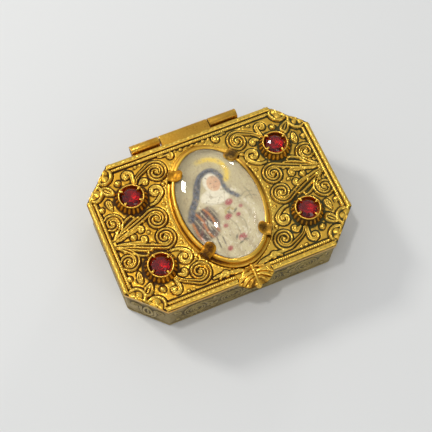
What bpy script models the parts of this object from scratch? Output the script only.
"""A small gilt rosary box: an octagonal tray and a hinged lid with scroll relief,
an oval picture under a domed glass, and four red stones in raised cups.

World axes: X along the box, Y from the thumb tab to the hinge, Z up.
The origin is the centre of the underside. Lengths are in metres.
"""

from math import atan2, cos, pi, radians, sin, sqrt

import bmesh
import bpy
from mathutils import Matrix, Vector

MM = 0.001

# Tray
WALL = 1.1 * MM
FLOOR = 1.1 * MM
TRAY_HEIGHT = 10.2 * MM
TRAY_INSET = 0.35 * MM          # the tray stands this far inside the lid's outline
TRAY_CORNER_RADIUS = 0.8 * MM

# Lid plate
LID_LENGTH = 57.0 * MM
LID_WIDTH = 39.2 * MM
CORNER_CUT = 7.7 * MM           # how far each corner is cut off along both sides
LID_CORNER_RADIUS = 0.5 * MM
LID_PLATE = 1.3 * MM
LID_GAP = 0.3 * MM              # between the tray's rim and the lid's underside

# Raised borders of the lid
BAR_RADIUS = 0.65 * MM          # half-round bar along each straight side
BAR_PROUD = 0.1 * MM
BAR_SHORT = 0.9 * MM            # the bar ends this far before the cut corner
ROPE_RADIUS = 0.38 * MM
ROPE_INSET = 1.85 * MM          # from the plate's edge to the rope line

# Picture, its bezel and the glass over it
GLASS_LENGTH = 29.4 * MM
GLASS_WIDTH = 19.4 * MM
GLASS_EDGE = 1.0 * MM
GLASS_RISE = 3.4 * MM
GLASS_CROWN = 0.75              # how full the dome is: lower is fuller at the edge
PICTURE_THICKNESS = 0.4 * MM
SEAT_DEPTH = 0.7 * MM           # sunk into the plate
BEZEL_WALL = 0.75 * MM
BEZEL_HEIGHT = 1.4 * MM
BEZEL_FOOT = 0.55 * MM          # a low step round the bezel, this wide
BEZEL_FOOT_HEIGHT = 0.4 * MM
SEAT_GAP = 0.3 * MM             # left round and under every seated piece
PRONG_ANGLE = 43.0              # degrees round the oval from the X axis
PRONG_WIDTH = 3.0 * MM
PRONG_THICKNESS = 0.5 * MM
PRONG_REACH = 1.7 * MM          # how far a prong's tip lies over the glass

# Stones and their cups
STONE_PLACE = (18.4 / 28.5, 9.2 / 19.6)     # shares of the half length and half width
STONE_DIAMETER = 4.8 * MM
STONE_TABLE = 2.6 * MM
STONE_CROWN = 0.75 * MM
STONE_GIRDLE = 0.2 * MM
STONE_DEPTH = 1.1 * MM          # below the girdle
STONE_SINK = 0.35 * MM          # girdle's top below the cup's rim
CUP_HEIGHT = 2.0 * MM
CUP_RIM = 0.35 * MM             # wall at the rim
CUP_WAIST = 0.25 * MM           # drawn in below the rim
CUP_FLARE = 0.75 * MM           # spread at the foot, past the rim
CLAW_WIDTH = 0.6 * MM
CLAW_REACH = 0.3 * MM           # over the stone's edge

# Relief of the lid: the section of a scroll's ridge is a diamond, sunk by its foot
SCROLL_RIDGE = 0.5 * MM
SCROLL_SINK = 0.12 * MM
SMALL_RIDGE = 0.4 * MM
BEAD_RADIUS = 0.72 * MM
SMALL_BEAD_RADIUS = 0.45 * MM

# Thumb tab at the front edge
TAB_X = 0.7 * MM
TAB_HALF_WIDTH = 4.3 * MM
TAB_REACH = 1.9 * MM            # past the lid's edge
TAB_THICKNESS = 1.0 * MM
TAB_RIDGE = 0.55 * MM
TAB_RIB_GAP = 0.45 * MM         # from the bezel's foot to the root of the tab's rib
KNOB_RADIUS = 0.8 * MM
KNOB_DROP = 1.3 * MM            # the knob's centre below the ground of the lid

# Hinge
HINGE_X = -0.3 * MM
HINGE_LENGTH = 27.5 * MM
HINGE_MIDDLE = 12.4 * MM        # the lid's knuckle
KNUCKLE_RADIUS = 1.2 * MM
KNUCKLE_GAP = 0.3 * MM
PIN_RADIUS = 0.35 * MM
PIN_CLEARANCE = 0.3 * MM
HINGE_OUT = 1.75 * MM           # the axis lies this far behind the lid's edge
HINGE_RISE = 1.0 * MM           # and this far above the tray's rim
LEAF_THICKNESS = 0.75 * MM
HINGE_FOOT = 3.0 * MM           # how far the tray's hinge plates run down its back

# Relief of the tray's walls
WALL_RIDGE = 0.4 * MM
WALL_RIDGE_SINK = 0.1 * MM
WALL_SCROLL_RADIUS = 2.9 * MM
WALL_SCROLLS_LONG = 4
WALL_SCROLLS_SHORT = 2
WALL_MARGIN = 1.4 * MM          # left plain above and below the scrolls
WALL_STEM = 0.8                 # share of the pitch from a stem's root to its scroll
WALL_TURNS = 1.4

ROUND_STEPS = 16
OVAL_STEPS = 36
DOME_RINGS = 5
LID_TURN_STEPS = 7              # ridge segments in one full turn of a scroll
WALL_TURN_STEPS = 8
SCROLL_EYE = 0.3                # a scroll winds in to this share of its radius

# Heights worked out from the sizes above
LID_UNDERSIDE = TRAY_HEIGHT + LID_GAP
LID_GROUND = LID_UNDERSIDE + LID_PLATE
SEAT_FLOOR = LID_GROUND - SEAT_DEPTH
PICTURE_BOTTOM = SEAT_FLOOR + SEAT_GAP
GLASS_BOTTOM = PICTURE_BOTTOM + PICTURE_THICKNESS + SEAT_GAP
CUP_TOP = LID_GROUND + CUP_HEIGHT
GIRDLE_TOP = CUP_TOP - STONE_SINK
HALF_LENGTH = LID_LENGTH / 2
HALF_WIDTH = LID_WIDTH / 2
HINGE_Y = HALF_WIDTH + HINGE_OUT
HINGE_Z = TRAY_HEIGHT + HINGE_RISE
SEAT_LENGTH = GLASS_LENGTH + 2 * SEAT_GAP
SEAT_WIDTH = GLASS_WIDTH + 2 * SEAT_GAP
STONE_X = STONE_PLACE[0] * HALF_LENGTH      # among the scrolls, which keep such shares too
STONE_Y = STONE_PLACE[1] * HALF_WIDTH

# One quarter of the lid's relief, repeated in all four. Places are shares of the
# lid's half length and half width; radii are real sizes. A scroll grows from its
# root, in the heading given, and winds in from its entry angle: "turn" is +1
# anticlockwise and -1 clockwise.
SCROLLS = (
    dict(root=(0.565, 0.650), heading=110, centre=(0.372, 0.694), radius=2.5 * MM,
         entry=60, turns=1.5, turn=1, ridge=SCROLL_RIDGE),
    dict(root=(0.519, 0.316), heading=190, centre=(0.439, 0.454), radius=1.6 * MM,
         entry=225, turns=1.0, turn=-1, ridge=SMALL_RIDGE),
    dict(root=(0.912, 0.028), heading=160, centre=(0.523, 0.128), radius=2.45 * MM,
         entry=65, turns=1.5, turn=1, ridge=SCROLL_RIDGE),
    dict(root=(0.915, 0.050), heading=165, centre=(0.870, 0.255), radius=2.15 * MM,
         entry=205, turns=1.5, turn=-1, ridge=SCROLL_RIDGE),
    dict(root=(0.589, 0.632), heading=110, centre=(0.611, 0.781), radius=1.15 * MM,
         entry=190, turns=0.75, turn=-1, ridge=SMALL_RIDGE),
    dict(root=(0.795, 0.050), heading=165, centre=(0.684, 0.062), radius=0.75 * MM,
         entry=80, turns=0.7, turn=1, ridge=SMALL_RIDGE),
    dict(root=(0.300, 0.875), heading=180, centre=(0.210, 0.838), radius=0.8 * MM,
         entry=90, turns=0.7, turn=1, ridge=SMALL_RIDGE),
    dict(root=(0.540, 0.620), heading=150, centre=(0.495, 0.612), radius=0.7 * MM,
         entry=60, turns=0.7, turn=1, ridge=SMALL_RIDGE),
)
BEADS = ((0.912, 0.464), (0.700, 0.724))
SMALL_BEADS = ((0.414, 0.270), (0.632, 0.163), (0.355, 0.520), (0.863, 0.138))
BACK_BEADS = 2                  # small beads each side of the middle one, behind the oval
BACK_BEAD_PITCH = 1.6 * MM
AXIS_BEADS = (0.754, 0.921)     # shares of the half length
LEAF_CENTRE = (0.803, 0.668)
LEAF_HALF_LENGTH = 1.6 * MM
LEAF_HALF_WIDTH = 0.85 * MM
LEAF_TILT = 48.0
DROP_CENTRE = (0.832, 0.490)
DROP_HALF_LENGTH = 1.25 * MM
DROP_HALF_WIDTH = 0.6 * MM
DROP_TILT = 82.0
CORNER_LOBE_RADIUS = 2.0 * MM
CORNER_LOBE_SPREAD = 2.5 * MM   # from the middle of the cut edge to a lobe's centre
CORNER_LOBE_INSET = 0.35 * MM


def clear_scene():
    for item in list(bpy.data.objects):
        bpy.data.objects.remove(item, do_unlink=True)


def new_collection(name):
    group = bpy.data.collections.new(name)
    bpy.context.scene.collection.children.link(group)
    return group


def make_material(name, colour, roughness, metallic, alpha=1.0):
    material = bpy.data.materials.new(name)
    material.use_nodes = True
    shader = material.node_tree.nodes["Principled BSDF"]
    shader.inputs["Base Color"].default_value = (*colour, 1)
    shader.inputs["Roughness"].default_value = roughness
    shader.inputs["Metallic"].default_value = metallic
    shader.inputs["Alpha"].default_value = alpha
    material.diffuse_color = (*colour, alpha)
    return material


# Building blocks


def object_from_bmesh(name, bm):
    mesh = bpy.data.meshes.new(name)
    bm.to_mesh(mesh)
    bm.free()
    made = bpy.data.objects.new(name, mesh)
    bpy.context.scene.collection.objects.link(made)
    return made


def mesh_from_curve(name, curve):
    """A closed mesh object from a curve, with its caps welded to its sides."""
    guide = bpy.data.objects.new(name, curve)
    bpy.context.scene.collection.objects.link(guide)
    graph = bpy.context.evaluated_depsgraph_get()
    mesh = bpy.data.meshes.new_from_object(guide.evaluated_get(graph))
    bpy.data.objects.remove(guide)
    bm = bmesh.new()
    bm.from_mesh(mesh)
    bpy.data.meshes.remove(mesh)
    bmesh.ops.remove_doubles(bm, verts=bm.verts, dist=0.001 * MM)
    bmesh.ops.recalc_face_normals(bm, faces=bm.faces)
    return object_from_bmesh(name, bm)


def prism(name, outline, bottom, top):
    """A flat outline in X and Y carried straight up from bottom to top."""
    curve = bpy.data.curves.new(name, "CURVE")
    curve.dimensions = "2D"
    curve.fill_mode = "BOTH"
    curve.extrude = (top - bottom) / 2
    spline = curve.splines.new("POLY")
    spline.points.add(len(outline) - 1)
    for point, (x, y) in zip(spline.points, outline):
        point.co = (x, y, 0, 1)
    spline.use_cyclic_u = True
    made = mesh_from_curve(name, curve)
    made.data.transform(Matrix.Translation((0, 0, (top + bottom) / 2)))
    return made


def ridge(name, points, radius, taper=1.0, closed=False, sides=0):
    """A tube along points; its width shrinks to taper at the first point."""
    curve = bpy.data.curves.new(name, "CURVE")
    curve.dimensions = "3D"
    curve.twist_mode = "Z_UP"
    curve.bevel_depth = radius
    curve.bevel_resolution = sides
    curve.use_fill_caps = True
    spline = curve.splines.new("POLY")
    spline.points.add(len(points) - 1)
    for index, (point, place) in enumerate(zip(spline.points, points)):
        point.co = (*place, 1)
        point.radius = taper + (1 - taper) * min(1, 3 * index / len(points))
    spline.use_cyclic_u = closed
    return mesh_from_curve(name, curve)


def bead(name, place, radius, detail=2, squash=1.0):
    bm = bmesh.new()
    bmesh.ops.create_icosphere(bm, subdivisions=detail, radius=radius)
    made = object_from_bmesh(name, bm)
    made.data.transform(Matrix.Translation(place) @ Matrix.Diagonal((1, 1, squash, 1)))
    return made


def cylinder_along_x(name, middle, length, radius, steps=ROUND_STEPS):
    bm = bmesh.new()
    bmesh.ops.create_cone(
        bm, cap_ends=True, segments=steps, radius1=radius, radius2=radius, depth=length
    )
    made = object_from_bmesh(name, bm)
    made.data.transform(Matrix.Translation(middle) @ Matrix.Rotation(pi / 2, 4, "Y"))
    return made


def turned(name, profile, steps=ROUND_STEPS):
    """A profile of (radius, height), down its outer side, turned round Z."""
    mesh = bpy.data.meshes.new(name)
    mesh.from_pydata(
        [(r, 0, z) for r, z in profile], [(i, i + 1) for i in range(len(profile) - 1)], []
    )
    made = bpy.data.objects.new(name, mesh)
    bpy.context.scene.collection.objects.link(made)
    screw = made.modifiers.new("turn", "SCREW")
    screw.steps = steps
    screw.render_steps = steps
    screw.use_merge_vertices = True
    screw.merge_threshold = 0.00001
    return made


def bake(item):
    """Leaves the object with its modifiers' result as a plain mesh."""
    graph = bpy.context.evaluated_depsgraph_get()
    mesh = bpy.data.meshes.new_from_object(item.evaluated_get(graph))
    item.modifiers.clear()
    item.data = mesh
    return item


def combine(target, tools, operation):
    """Joins the tools to the target, or cuts them from it."""
    group = new_collection("cutters")
    for tool in tools:
        tool.hide_render = True
        tool.display_type = "WIRE"
        group.objects.link(tool)
    boolean = target.modifiers.new(operation, "BOOLEAN")
    boolean.operand_type = "COLLECTION"
    boolean.collection = group
    boolean.operation = operation
    boolean.solver = "MANIFOLD"     # the exact solver leaves gaps between so many ridges
    bake(target)
    for tool in tools:
        bpy.data.objects.remove(tool)
    bpy.data.collections.remove(group)
    return target


def finish_piece(item, group, material, smooth_below=30):
    for holder in list(item.users_collection):
        holder.objects.unlink(item)
    group.objects.link(item)
    item.data.materials.clear()
    item.data.materials.append(material)
    item.data.shade_smooth()
    item.data.set_sharp_from_angle(angle=radians(smooth_below))
    return item


# Outlines and paths


def octagon(half_x, half_y, cut, corner_radius, steps=2):
    """A rectangle with its corners cut off, each of its eight corners rounded."""
    corners = []
    for sx, sy in ((1, 1), (-1, 1), (-1, -1), (1, -1)):
        pair = [(sx * half_x, sy * (half_y - cut)), (sx * (half_x - cut), sy * half_y)]
        corners += pair if sx * sy > 0 else pair[::-1]
    outline = []
    setback = corner_radius * sqrt(2) / (1 + sqrt(2))
    count = len(corners)
    for i, corner in enumerate(corners):
        here = Vector(corner)
        before = (Vector(corners[i - 1]) - here).normalized()
        after = (Vector(corners[(i + 1) % count]) - here).normalized()
        first = here + before * setback * 0.6
        last = here + after * setback * 0.6
        for step in range(steps + 1):
            t = step / steps
            outline.append(tuple((1 - t) ** 2 * first + 2 * t * (1 - t) * here + t * t * last))
    return outline


def ellipse(half_x, half_y, steps=OVAL_STEPS):
    return [
        (half_x * cos(2 * pi * i / steps), half_y * sin(2 * pi * i / steps))
        for i in range(steps)
    ]


def scroll_path(root, heading, centre, radius, entry, turns, turn, steps_a_turn):
    """A stem from root bends into a ring round centre and winds in to its eye."""
    entry_angle = radians(entry)

    def on_ring(angle, r):
        return Vector((centre[0] + r * cos(angle), centre[1] + r * sin(angle)))

    start = Vector(root)
    end = on_ring(entry_angle, radius)
    reach = (end - start).length
    leave = Vector((cos(radians(heading)), sin(radians(heading)))) * reach
    arrive = Vector((-turn * sin(entry_angle), turn * cos(entry_angle))) * reach
    steps = max(2, round(reach / (radius * 1.1)))
    path = []
    for i in range(steps):
        t = i / steps
        path.append(
            (2 * t**3 - 3 * t**2 + 1) * start
            + (t**3 - 2 * t**2 + t) * leave
            + (3 * t**2 - 2 * t**3) * end
            + (t**3 - t**2) * arrive
        )
    count = max(4, round(turns * steps_a_turn))
    for i in range(count + 1):
        share = i / count
        r = radius * (1 - share * (1 - SCROLL_EYE))
        path.append(on_ring(entry_angle + turn * 2 * pi * turns * share, r))
    return path


def loop_path(centre, half_length, half_width, tilt, steps=8):
    """A closed oval loop, pointed a little at its outer end."""
    angle = radians(tilt)
    path = []
    for i in range(steps):
        a = 2 * pi * i / steps
        along = half_length * cos(a)
        across = half_width * sin(a) * (1 - 0.35 * cos(a))
        path.append(Vector((
            centre[0] + along * cos(angle) - across * sin(angle),
            centre[1] + along * sin(angle) + across * cos(angle),
        )))
    return path


def glass_top(x, y):
    """Height of the dome above a point, zero outside the glass."""
    share = (2 * x / GLASS_WIDTH) ** 2 + (2 * y / GLASS_LENGTH) ** 2
    rise = GLASS_RISE * max(0.0, 1 - share) ** GLASS_CROWN
    return GLASS_BOTTOM + GLASS_EDGE + rise


def on_lid(share):
    return (share[0] * HALF_LENGTH, share[1] * HALF_WIDTH)


def each_quarter():
    for sx in (1, -1):
        for sy in (1, -1):
            yield sx, sy


# Tray


def wall_frames():
    """Each straight wall: whether it is a long one, its half length, and the matrix
    from the wall's own plane, X along it and Y up, to the world."""
    outer_x = HALF_LENGTH - TRAY_INSET
    outer_y = HALF_WIDTH - TRAY_INSET
    upright = Matrix.Rotation(pi / 2, 4, "X")
    for quarter in range(4):
        long_wall = quarter % 2 == 0
        reach = outer_y if long_wall else outer_x
        half = (outer_x if long_wall else outer_y) - CORNER_CUT
        turn = Matrix.Rotation(quarter * pi / 2, 4, "Z")
        yield long_wall, half, turn @ Matrix.Translation((0, -reach, 0)) @ upright


def wall_relief():
    """A vine on each straight wall, running out both ways from the middle."""
    made = []
    middle = TRAY_HEIGHT / 2
    radius = min(WALL_SCROLL_RADIUS, middle - WALL_MARGIN)
    for long_wall, half, place in wall_frames():
        count = WALL_SCROLLS_LONG if long_wall else WALL_SCROLLS_SHORT
        pitch = 2 * half / (count + 0.5)
        for i in range(count):
            x = pitch * (i - (count - 1) / 2)
            side = 1 if x > 0 else -1
            up = 1 if int(abs(x) / pitch) % 2 else -1
            path = scroll_path(
                (x - side * pitch * WALL_STEM, middle + up * radius), 90 - 90 * side,
                (x, middle), radius, 90 * up, WALL_TURNS, -side * up, WALL_TURN_STEPS,
            )
            made.append(ridge(
                "wall_scroll", [(p.x, p.y, -WALL_RIDGE_SINK) for p in path], WALL_RIDGE, 0.5
            ))
            made[-1].data.transform(place)
    return made


def hinge_profile(points, name, x_from, x_to):
    """A section in Y and Z carried along X."""
    made = prism(name, points, x_from, x_to)
    turn = Matrix(((0, 0, 1, 0), (1, 0, 0, 0), (0, 1, 0, 0), (0, 0, 0, 1)))
    made.data.transform(turn)
    return made


def knuckle_spans():
    """X ranges of the hinge's knuckles: the tray's two and the lid's one between."""
    left = HINGE_X - HINGE_LENGTH / 2
    right = HINGE_X + HINGE_LENGTH / 2
    inner_left = HINGE_X - HINGE_MIDDLE / 2
    inner_right = HINGE_X + HINGE_MIDDLE / 2
    return (
        (left, inner_left - KNUCKLE_GAP),
        (inner_left, inner_right),
        (inner_right + KNUCKLE_GAP, right),
    )


def knuckle(name, span):
    middle = ((span[0] + span[1]) / 2, HINGE_Y, HINGE_Z)
    return cylinder_along_x(name, middle, span[1] - span[0], KNUCKLE_RADIUS)


def pin_bore():
    middle = (HINGE_X, HINGE_Y, HINGE_Z)
    return cylinder_along_x(
        "pin_bore", middle, HINGE_LENGTH + 4 * KNUCKLE_GAP, PIN_RADIUS + PIN_CLEARANCE, 14
    )


def build_tray():
    outer_x = HALF_LENGTH - TRAY_INSET
    outer_y = HALF_WIDTH - TRAY_INSET
    inner_cut = CORNER_CUT - WALL * (2 - sqrt(2))
    tray = prism(
        "body", octagon(outer_x, outer_y, CORNER_CUT, TRAY_CORNER_RADIUS), 0, TRAY_HEIGHT
    )
    inside = prism(
        "inside",
        octagon(outer_x - WALL, outer_y - WALL, inner_cut, TRAY_CORNER_RADIUS),
        FLOOR,
        TRAY_HEIGHT + WALL,
    )
    joined = wall_relief()
    for index, span in enumerate((knuckle_spans()[0], knuckle_spans()[2])):
        joined.append(knuckle(f"tray_knuckle_{index}", span))
        plate_y = outer_y + LEAF_THICKNESS
        joined.append(hinge_profile(
            (
                (outer_y - 0.3 * WALL, TRAY_HEIGHT - HINGE_FOOT),
                (plate_y, TRAY_HEIGHT - HINGE_FOOT),
                (HINGE_Y + 0.75 * KNUCKLE_RADIUS, HINGE_Z - 0.6 * KNUCKLE_RADIUS),
                (HINGE_Y, HINGE_Z),
                (plate_y, TRAY_HEIGHT - 0.15 * KNUCKLE_RADIUS),
                (outer_y - 0.3 * WALL, TRAY_HEIGHT - 0.15 * KNUCKLE_RADIUS),
            ),
            f"hinge_plate_{index}", *span,
        ))
    combine(tray, joined, "UNION")
    combine(tray, [inside, pin_bore()], "DIFFERENCE")
    return tray


def build_pin():
    return cylinder_along_x(
        "hinge_pin", (HINGE_X, HINGE_Y, HINGE_Z), HINGE_LENGTH, PIN_RADIUS, 12
    )


# Lid


def border_bars():
    made = []
    along_x = HALF_LENGTH - CORNER_CUT - BAR_SHORT * 0.4
    along_y = HALF_WIDTH - CORNER_CUT - BAR_SHORT * 0.4
    bar_y = HALF_WIDTH + BAR_PROUD - BAR_RADIUS
    bar_x = HALF_LENGTH + BAR_PROUD - BAR_RADIUS
    tab_left = TAB_X - TAB_HALF_WIDTH
    tab_right = TAB_X + TAB_HALF_WIDTH
    runs = (
        ((-along_x, bar_y), (along_x, bar_y)),
        ((-along_x, -bar_y), (tab_left, -bar_y)),
        ((tab_right, -bar_y), (along_x, -bar_y)),
        ((-bar_x, -along_y), (-bar_x, along_y)),
        ((bar_x, -along_y), (bar_x, along_y)),
    )
    height = LID_GROUND - 0.02 * MM
    for a, b in runs:
        made.append(ridge("bar", [(*a, height), (*b, height)], BAR_RADIUS, sides=2))
    rope_x = HALF_LENGTH - ROPE_INSET + 0.4 * ROPE_RADIUS
    rope_y = HALF_WIDTH - ROPE_INSET
    end_x = HALF_LENGTH - CORNER_CUT - BAR_SHORT
    end_y = HALF_WIDTH - CORNER_CUT - BAR_SHORT
    rope_runs = (
        ((-end_x, rope_y), (end_x, rope_y)),
        ((-end_x, -rope_y), (tab_left - BAR_RADIUS, -rope_y)),
        ((tab_right + BAR_RADIUS, -rope_y), (end_x, -rope_y)),
        ((-rope_x, -end_y), (-rope_x, end_y)),
        ((rope_x, -end_y), (rope_x, end_y)),
    )
    for a, b in rope_runs:
        made.append(ridge(
            "rope_line",
            [(*a, LID_GROUND - SCROLL_SINK), (*b, LID_GROUND - SCROLL_SINK)],
            ROPE_RADIUS + SCROLL_SINK,
        ))
    return made


def lid_relief():
    """Scrolls, leaves and beads of all four quarters."""
    made = []
    height = LID_GROUND - SCROLL_SINK
    for sx, sy in each_quarter():
        for scroll in SCROLLS:
            path = scroll_path(
                on_lid(scroll["root"]), scroll["heading"], on_lid(scroll["centre"]),
                scroll["radius"], scroll["entry"], scroll["turns"], scroll["turn"],
                LID_TURN_STEPS,
            )
            made.append(ridge(
                "scroll", [(sx * p.x, sy * p.y, height) for p in path],
                scroll["ridge"] + SCROLL_SINK, 0.55,
            ))
        for centre, half_length, half_width, tilt in (
            (LEAF_CENTRE, LEAF_HALF_LENGTH, LEAF_HALF_WIDTH, LEAF_TILT),
            (DROP_CENTRE, DROP_HALF_LENGTH, DROP_HALF_WIDTH, DROP_TILT),
        ):
            path = loop_path(on_lid(centre), half_length, half_width, tilt)
            made.append(ridge(
                "leaf", [(sx * p.x, sy * p.y, height) for p in path], SMALL_RIDGE, closed=True
            ))
        for share in BEADS:
            x, y = on_lid(share)
            made.append(bead("bead", (sx * x, sy * y, height), BEAD_RADIUS, 2, 0.9))
        for share in SMALL_BEADS:
            x, y = on_lid(share)
            made.append(bead("small_bead", (sx * x, sy * y, height), SMALL_BEAD_RADIUS, 1))
        made += corner_lobes(sx, sy)
    for share in (*AXIS_BEADS, *(-share for share in AXIS_BEADS)):
        x = share * HALF_LENGTH
        made.append(bead("axis_bead", (x, 0, height), BEAD_RADIUS, 2, 0.9))
    bead_y = (SEAT_LENGTH / 2 + BEZEL_WALL + HALF_WIDTH - ROPE_INSET - ROPE_RADIUS) / 2
    for i in range(-BACK_BEADS, BACK_BEADS + 1):
        made.append(bead(
            "back_bead", (i * BACK_BEAD_PITCH, bead_y, height), SMALL_BEAD_RADIUS, 1
        ))
    return made


def corner_lobes(sx, sy):
    """Two scallops side by side along a cut corner, each with a low dome in it."""
    made = []
    middle = Vector((HALF_LENGTH - CORNER_CUT / 2, HALF_WIDTH - CORNER_CUT / 2))
    along = Vector((-1, 1)) / sqrt(2)
    inward = Vector((-1, -1)) / sqrt(2)
    for side in (1, -1):
        centre = middle + side * CORNER_LOBE_SPREAD * along + CORNER_LOBE_INSET * inward
        path = []
        for i in range(6):
            angle = radians(10 + 160 * i / 5)
            spot = centre + CORNER_LOBE_RADIUS * (cos(angle) * along + sin(angle) * inward)
            path.append((sx * spot.x, sy * spot.y, LID_GROUND - SCROLL_SINK))
        made.append(ridge("lobe_edge", path, SCROLL_RIDGE + SCROLL_SINK))
        dome = centre + 0.5 * CORNER_LOBE_RADIUS * inward
        made.append(bead(
            "lobe_dome", (sx * dome.x, sy * dome.y, LID_GROUND - SCROLL_SINK),
            0.5 * CORNER_LOBE_RADIUS, 1, 0.6,
        ))
    return made


def prong(angle, index):
    """A tab that rises outside the bezel and folds in over the edge of the glass."""
    a = radians(angle)
    wall = Vector((SEAT_WIDTH / 2 * cos(a), SEAT_LENGTH / 2 * sin(a)))
    outward = Vector((cos(a) / SEAT_WIDTH, sin(a) / SEAT_LENGTH)).normalized()
    folds = 4
    under, over = [], []
    for i in range(folds + 1):
        u = -(SEAT_GAP + PRONG_REACH) * i / folds
        spot = wall + u * outward
        z = glass_top(spot.x, spot.y) + 1.5 * SEAT_GAP
        under.append((u, z))
        over.append((u, z + PRONG_THICKNESS))
    outer = BEZEL_WALL + 0.6 * PRONG_THICKNESS
    low = LID_GROUND - 0.3 * LID_PLATE
    outline = [
        (0.3 * BEZEL_WALL, low),
        (outer, low),
        (outer, over[0][1] - 0.6 * PRONG_THICKNESS),
        *over,
        *reversed(under),
        (0.3 * BEZEL_WALL, under[0][1]),
    ]
    made = prism(f"prong_{index}", outline, -PRONG_WIDTH / 2, PRONG_WIDTH / 2)
    stand = Matrix(((1, 0, 0, 0), (0, 0, -1, 0), (0, 1, 0, 0), (0, 0, 0, 1)))
    turn = Matrix.Rotation(atan2(outward.y, outward.x), 4, "Z")
    made.data.transform(Matrix.Translation((wall.x, wall.y, 0)) @ turn @ stand)
    return made


def cup(index, x, y):
    """The stone's raised cup, flared at its foot, with four claws."""
    hole = STONE_DIAMETER / 2 + SEAT_GAP
    rim = hole + CUP_RIM
    floor = LID_GROUND + 0.05 * CUP_HEIGHT
    profile = (
        (0, floor),
        (hole, CUP_TOP - 0.5 * CUP_HEIGHT),
        (hole, CUP_TOP),
        (rim, CUP_TOP),
        (rim - CUP_WAIST, CUP_TOP - 0.3 * CUP_HEIGHT),
        (rim + 0.25 * CUP_FLARE, CUP_TOP - 0.65 * CUP_HEIGHT),
        (rim + CUP_FLARE, LID_GROUND - 0.2 * LID_PLATE),
        (0, LID_GROUND - 0.2 * LID_PLATE),
    )
    made = [bake(turned(f"cup_{index}", profile))]
    tip = STONE_DIAMETER / 2 - CLAW_REACH
    slope = STONE_CROWN / (STONE_DIAMETER / 2 - STONE_TABLE / 2)
    under = GIRDLE_TOP + slope * CLAW_REACH + 1.2 * SEAT_GAP
    section = (
        (hole + 0.1 * CUP_RIM, CUP_TOP - 0.3 * SEAT_GAP),
        (rim - 0.1 * CUP_RIM, CUP_TOP - 0.3 * SEAT_GAP),
        (rim - 0.1 * CUP_RIM, under + 0.15 * CUP_RIM),
        (tip, under + CUP_RIM),
        (tip, under),
    )
    stand = Matrix(((1, 0, 0, 0), (0, 0, -1, 0), (0, 1, 0, 0), (0, 0, 0, 1)))
    for i in range(4):
        claw = prism(f"claw_{index}_{i}", section, -CLAW_WIDTH / 2, CLAW_WIDTH / 2)
        claw.data.transform(Matrix.Rotation(radians(35 + 90 * i), 4, "Z") @ stand)
        made.append(claw)
    for piece in made:
        piece.data.transform(Matrix.Translation((x, y, 0)))
    return made


def thumb_tab():
    """A shell-shaped tab past the front edge, with curls on it and a knob at its tip."""
    edge = -HALF_WIDTH
    tip = edge - TAB_REACH
    root = edge + 1.6 * BAR_RADIUS
    half = TAB_HALF_WIDTH
    steps = 5
    outline = [(TAB_X - half, root), (TAB_X - half, edge)]
    for i in range(1, 2 * steps):
        a = pi + pi * i / (2 * steps)
        outline.append((TAB_X + half * cos(a), edge + TAB_REACH * sin(a)))
    outline += [(TAB_X + half, edge), (TAB_X + half, root)]
    top = LID_GROUND - 0.25 * TAB_THICKNESS
    made = [prism("tab", outline, top - TAB_THICKNESS, top)]
    for side in (1, -1):
        path = []
        for i in range(8):
            a = radians(115 - 235 * i / 7)
            path.append((
                TAB_X + side * (0.47 * half + 0.38 * half * cos(a)),
                edge + 0.35 * TAB_REACH + 0.9 * TAB_REACH * sin(a),
                LID_GROUND - 0.25 * TAB_RIDGE,
            ))
        made.append(ridge("tab_curl", path, TAB_RIDGE))
    rib_root = -(SEAT_LENGTH / 2 + BEZEL_WALL + BEZEL_FOOT + TAB_RIB_GAP)
    rib = [
        (TAB_X, rib_root, LID_GROUND),
        (TAB_X, edge, LID_GROUND - 0.1 * TAB_RIDGE),
        (TAB_X, tip, LID_GROUND - 0.6 * TAB_THICKNESS),
    ]
    made.append(ridge("tab_rib", rib, 0.9 * TAB_RIDGE, 0.6))
    knob_at = (TAB_X, tip + 0.3 * KNOB_RADIUS, LID_GROUND - KNOB_DROP)
    made.append(bead("tab_knob", knob_at, KNOB_RADIUS, 2, 1.25))
    return made


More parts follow.
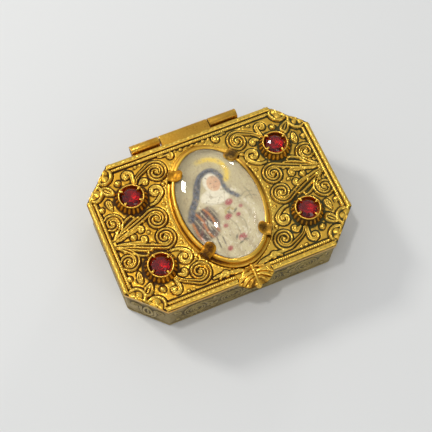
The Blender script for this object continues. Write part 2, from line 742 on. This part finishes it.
def build_lid():
    lid = prism(
        "lid",
        octagon(HALF_LENGTH, HALF_WIDTH, CORNER_CUT, LID_CORNER_RADIUS),
        LID_UNDERSIDE,
        LID_GROUND,
    )
    bezel = prism(
        "bezel",
        ellipse(SEAT_WIDTH / 2 + BEZEL_WALL, SEAT_LENGTH / 2 + BEZEL_WALL),
        LID_GROUND - 0.5 * SEAT_DEPTH,
        LID_GROUND + BEZEL_HEIGHT,
    )
    foot = prism(
        "bezel_foot",
        ellipse(
            SEAT_WIDTH / 2 + BEZEL_WALL + BEZEL_FOOT, SEAT_LENGTH / 2 + BEZEL_WALL + BEZEL_FOOT
        ),
        LID_GROUND - 0.4 * SEAT_DEPTH,
        LID_GROUND + BEZEL_FOOT_HEIGHT,
    )
    joined = border_bars() + lid_relief() + thumb_tab() + [bezel, foot]
    span = knuckle_spans()[1]
    joined.append(knuckle("lid_knuckle", span))
    leaf_top = HINGE_Z + KNUCKLE_RADIUS
    joined.append(hinge_profile(
        (
            (HALF_WIDTH - 0.8 * BAR_RADIUS, leaf_top - LEAF_THICKNESS),
            (HINGE_Y - 0.4 * KNUCKLE_RADIUS, leaf_top - LEAF_THICKNESS),
            (HINGE_Y + 0.1 * KNUCKLE_RADIUS, leaf_top - 0.04 * KNUCKLE_RADIUS),
            (HALF_WIDTH - 0.8 * BAR_RADIUS, leaf_top - 0.04 * KNUCKLE_RADIUS),
        ),
        "lid_leaf", *span,
    ))
    for index, (sx, sy) in enumerate(each_quarter()):
        joined += cup(index, sx * STONE_X, sy * STONE_Y)
    combine(lid, joined, "UNION")
    seat = prism(
        "seat",
        ellipse(SEAT_WIDTH / 2, SEAT_LENGTH / 2),
        SEAT_FLOOR,
        LID_GROUND + BEZEL_HEIGHT + BEZEL_WALL,
    )
    combine(lid, [seat, pin_bore()], "DIFFERENCE")
    prongs = [
        prong(angle, index)
        for index, angle in enumerate(
            (PRONG_ANGLE, 180 - PRONG_ANGLE, 180 + PRONG_ANGLE, 360 - PRONG_ANGLE)
        )
    ]
    return combine(lid, prongs, "UNION")


def build_picture():
    return prism(
        "picture",
        ellipse(GLASS_WIDTH / 2, GLASS_LENGTH / 2),
        PICTURE_BOTTOM,
        PICTURE_BOTTOM + PICTURE_THICKNESS,
    )


def build_glass():
    """A flat-bottomed oval cabochon: a straight edge, then the dome in rings."""
    bm = bmesh.new()
    bmesh.ops.create_circle(bm, cap_ends=False, segments=OVAL_STEPS, radius=1)
    base = list(bm.verts)
    rings = [base]
    for i in range(DOME_RINGS):
        share = cos(0.5 * pi * i / DOME_RINGS)
        ring = [bm.verts.new((v.co.x * share, v.co.y * share, 1)) for v in base]
        rings.append(ring)
    for v in base:
        v.co.z = 0
    bm.edges.ensure_lookup_table()
    for lower, upper in zip(rings, rings[1:]):
        for i in range(OVAL_STEPS):
            j = (i + 1) % OVAL_STEPS
            bm.faces.new((lower[i], lower[j], upper[j], upper[i]))
    crown = bm.verts.new((0, 0, 1))
    for i in range(OVAL_STEPS):
        bm.faces.new((rings[-1][i], rings[-1][(i + 1) % OVAL_STEPS], crown))
    bm.faces.new(base[::-1])
    for v in bm.verts:
        x = v.co.x * GLASS_WIDTH / 2
        y = v.co.y * GLASS_LENGTH / 2
        v.co = (x, y, glass_top(x, y) if v.co.z > 0.5 else GLASS_BOTTOM)
    bmesh.ops.recalc_face_normals(bm, faces=bm.faces)
    return object_from_bmesh("glass_dome", bm)


def build_stone(name, x, y):
    """A round stone with a flat table, a crown, a girdle and a pointed back."""
    half = STONE_DIAMETER / 2
    profile = (
        (0, GIRDLE_TOP + STONE_CROWN),
        (STONE_TABLE / 2, GIRDLE_TOP + STONE_CROWN),
        (half, GIRDLE_TOP),
        (half, GIRDLE_TOP - STONE_GIRDLE),
        (0, GIRDLE_TOP - STONE_GIRDLE - STONE_DEPTH),
    )
    stone = bake(turned(name, profile, 16))
    stone.data.transform(Matrix.Translation((x, y, 0)))
    return stone


def place_on_axis(item):
    """Puts the object's origin on the hinge's axis and leaves its shape where it is."""
    axis = Vector((HINGE_X, HINGE_Y, HINGE_Z))
    item.data.transform(Matrix.Translation(-axis))
    item.location = axis


def main():
    clear_scene()
    group = new_collection("rosary_box")
    gilt = make_material("gilt_relief", (0.70, 0.46, 0.12), 0.36, 1.0)
    dull_gilt = make_material("dull_gilt", (0.42, 0.33, 0.16), 0.5, 1.0)
    brass = make_material("brass_pin", (0.60, 0.42, 0.14), 0.35, 1.0)
    paint = make_material("painted_card", (0.80, 0.75, 0.62), 0.6, 0.0)
    glass = make_material("clear_glass", (0.96, 0.97, 0.95), 0.05, 0.0, 0.35)
    ruby = make_material("red_stone", (0.45, 0.01, 0.03), 0.08, 0.0)

    finish_piece(build_tray(), group, dull_gilt)
    finish_piece(build_pin(), group, brass)
    moving = [
        finish_piece(build_lid(), group, gilt),
        finish_piece(build_picture(), group, paint),
        finish_piece(build_glass(), group, glass),
    ]
    for sx, side in ((-1, "left"), (1, "right")):
        for sy, end in ((1, "back"), (-1, "front")):
            stone = build_stone(f"stone_{end}_{side}", sx * STONE_X, sy * STONE_Y)
            moving.append(finish_piece(stone, group, ruby, 12))
    for item in moving:
        place_on_axis(item)


main()
